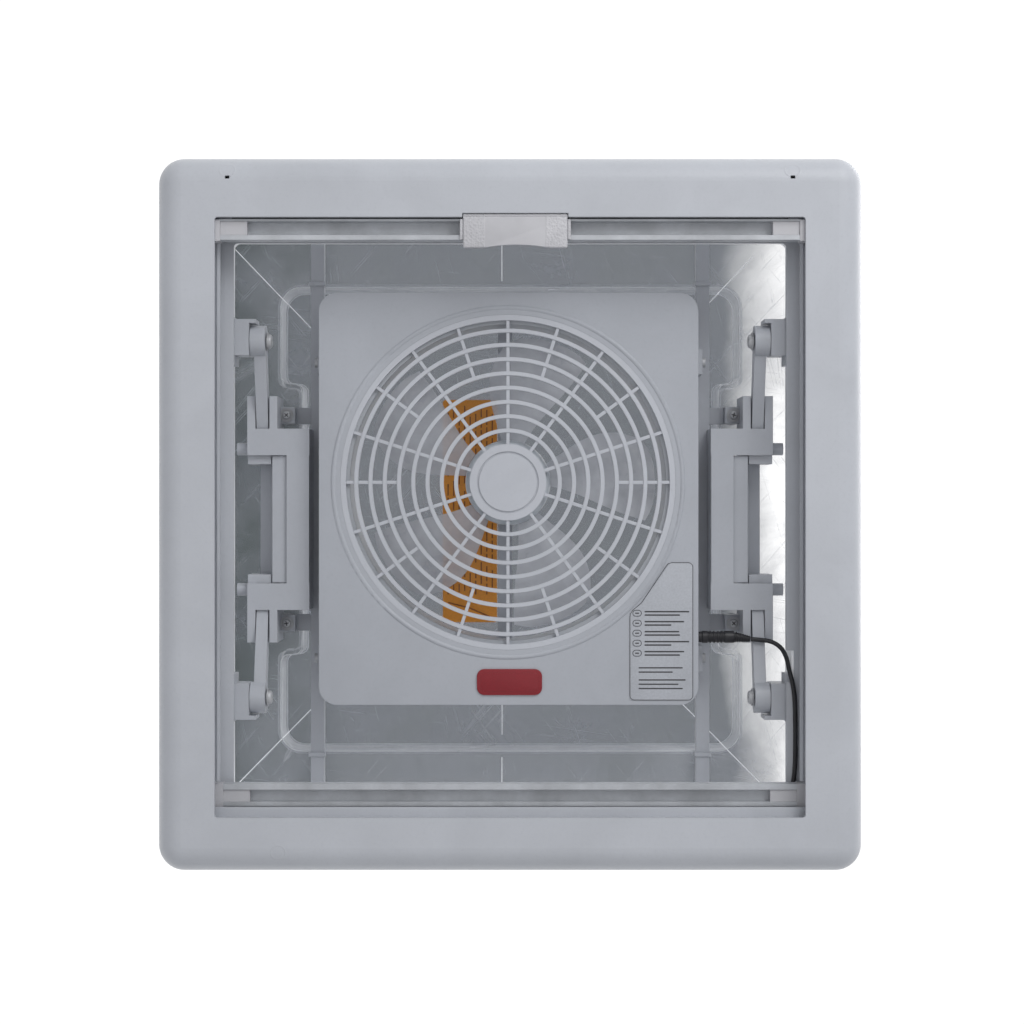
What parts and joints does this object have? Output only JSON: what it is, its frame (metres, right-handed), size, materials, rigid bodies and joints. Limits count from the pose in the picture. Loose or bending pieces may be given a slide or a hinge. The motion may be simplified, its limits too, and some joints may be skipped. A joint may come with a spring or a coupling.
{
  "type": "roof vent cover",
  "caption": "Caravan roof vent: square room-side trim with pull-out flyscreen and blackout blinds, and a clear dome carrying a round-grille fan that rises on four arms.",
  "frame": {"origin": "middle of the outside frame, on the plane of the trim's room face", "axes": "+Z points out through the roof; +Y from the flyscreen's parked bar to the blackout blind's parked bar; +X towards the power lead's side"},
  "size_m": [0.484, 0.496, 0.135],
  "materials": {
    "trim_plastic": "fine moulded texture",
    "frame_plastic": "satin moulded plastic",
    "fan_plastic": "fine moulded texture",
    "duct_plastic": "satin moulded plastic",
    "white_plastic": "semi-gloss",
    "bar_aluminium": "powder-coated extrusion",
    "net_fabric": "fine woven net",
    "blackout_fabric": "coated cloth",
    "seal_rubber": "soft rubber",
    "steel": "zinc-plated",
    "cap_plastic": "satin",
    "clear_acrylic": "clear acrylic with fine scratches",
    "rotor_plastic": "translucent moulded plastic",
    "motor_metal": "dark painted can",
    "badge_red": "printed plastic",
    "label_grey": "film label",
    "label_orange": "printed film",
    "black_plastic": "moulded plastic",
    "lead_rubber": "smooth cable sheath"
  },
  "bodies": {
    "frame": {"interior_trim": "trim_plastic", "base_plate": "trim_plastic", "side_channel_left": "trim_plastic", "side_channel_right": "trim_plastic", "flyscreen_cassette": "trim_plastic", "blackout_cassette": "trim_plastic", "cassette_end_caps": "trim_plastic", "roof_frame": "frame_plastic", "roof_gasket": "seal_rubber", "dome_seal": "seal_rubber", "ceiling_screws": "steel", "pivot_screws": "steel", "power_terminal": "white_plastic", "power_lead": "lead_rubber", "arm_bracket_left_top": "frame_plastic", "arm_bracket_left_bottom": "frame_plastic", "arm_bracket_right_top": "frame_plastic", "arm_bracket_right_bottom": "frame_plastic"},
    "flyscreen_pull": {"flyscreen_bar": "bar_aluminium", "flyscreen_bar_ends": "white_plastic", "flyscreen_handle": "white_plastic", "flyscreen_net": "net_fabric"},
    "flyscreen_roll": {"flyscreen_roller": "net_fabric"},
    "blackout_pull": {"blackout_bar": "bar_aluminium", "blackout_bar_ends": "white_plastic", "blackout_cloth": "blackout_fabric"},
    "blackout_roll": {"blackout_roller": "blackout_fabric"},
    "dome_assembly": {"dome": "clear_acrylic", "lift_rail_left": "frame_plastic", "lift_rail_right": "frame_plastic", "dome_screws": "steel", "dome_screw_caps": "cap_plastic", "fan_housing": "fan_plastic", "fan_back_cover": "fan_plastic", "fan_duct": "duct_plastic", "fan_grille": "fan_plastic", "fan_motor": "motor_metal", "motor_strut": "fan_plastic", "housing_screws": "steel", "badge": "badge_red", "housing_label": "label_grey", "dome_label": "label_orange", "power_jack": "black_plastic", "lead_plug": "black_plastic", "lead_relief": "black_plastic"},
    "left_paddle": {"grip_paddle_left": "frame_plastic", "paddle_springs_left": "steel"},
    "right_paddle": {"grip_paddle_right": "frame_plastic", "paddle_springs_right": "steel"},
    "rotor": {"fan_rotor": "rotor_plastic", "rotor_shaft": "steel"},
    "arm_left_top": {"arm_left_top": "frame_plastic", "arm_pin_left_top": "steel"},
    "arm_left_bottom": {"arm_left_bottom": "frame_plastic", "arm_pin_left_bottom": "steel"},
    "arm_right_top": {"arm_right_top": "frame_plastic", "arm_pin_right_top": "steel"},
    "arm_right_bottom": {"arm_right_bottom": "frame_plastic", "arm_pin_right_bottom": "steel"}
  },
  "joints": [
    {"name": "dome_lift", "type": "slide", "parent": "frame", "child": "dome_assembly", "axis": [0, 0, 1], "range_m": [0, 0.0436], "deforming": ["power_lead"]},
    {"name": "fan_spin", "type": "hinge", "parent": "dome_assembly", "child": "rotor", "pos_m": [-0.0015, -0.026, 0.06], "axis": [0, 0, 1], "continuous": true},
    {"name": "flyscreen_slide", "type": "slide", "parent": "frame", "child": "flyscreen_pull", "axis": [0, 1, 0], "range_m": [0, 0.365], "deforming": ["flyscreen_net"]},
    {"name": "blackout_slide", "type": "slide", "parent": "frame", "child": "blackout_pull", "axis": [0, -1, 0], "range_m": [0, 0.365], "deforming": ["blackout_cloth"]},
    {"name": "flyscreen_roll_spin", "type": "hinge", "parent": "frame", "child": "flyscreen_roll", "pos_m": [0, -0.21875, 0.0185], "axis": [1, 0, 0], "range_deg": [0, 2400]},
    {"name": "blackout_roll_spin", "type": "hinge", "parent": "frame", "child": "blackout_roll", "pos_m": [0, 0.2149, 0.015], "axis": [1, 0, 0], "range_deg": [0, 2400]},
    {"name": "left_paddle_press", "type": "slide", "parent": "dome_assembly", "child": "left_paddle", "axis": [1, 0, 0], "range_m": [0, 0.004], "stiffness_N_per_m": 900, "springref_m": -0.004, "deforming": ["paddle_springs_left"]},
    {"name": "right_paddle_press", "type": "slide", "parent": "dome_assembly", "child": "right_paddle", "axis": [-1, 0, 0], "range_m": [0, 0.004], "stiffness_N_per_m": 900, "springref_m": -0.004, "deforming": ["paddle_springs_right"]},
    {"name": "arm_left_top_swing", "type": "hinge", "parent": "frame", "child": "arm_left_top", "pos_m": [-0.1766, -0.125, 0.05], "axis": [1, 0, 0], "range_deg": [0, 41]},
    {"name": "arm_left_bottom_swing", "type": "hinge", "parent": "frame", "child": "arm_left_bottom", "pos_m": [-0.1766, 0.125, 0.05], "axis": [1, 0, 0], "range_deg": [-41, 0]},
    {"name": "arm_right_top_swing", "type": "hinge", "parent": "frame", "child": "arm_right_top", "pos_m": [0.1766, -0.125, 0.05], "axis": [1, 0, 0], "range_deg": [0, 41]},
    {"name": "arm_right_bottom_swing", "type": "hinge", "parent": "frame", "child": "arm_right_bottom", "pos_m": [0.1766, 0.125, 0.05], "axis": [1, 0, 0], "range_deg": [-41, 0]}
  ],
  "couplings": [
    {"joint": "flyscreen_roll_spin", "follows": "flyscreen_slide", "rad_per_m": 111.11},
    {"joint": "blackout_roll_spin", "follows": "blackout_slide", "rad_per_m": 111.11},
    {"joint": "arm_left_top_swing", "follows": "dome_lift", "rad_per_m": 16.225},
    {"joint": "arm_left_bottom_swing", "follows": "dome_lift", "rad_per_m": -16.225},
    {"joint": "arm_right_top_swing", "follows": "dome_lift", "rad_per_m": 16.225},
    {"joint": "arm_right_bottom_swing", "follows": "dome_lift", "rad_per_m": -16.225}
  ]
}
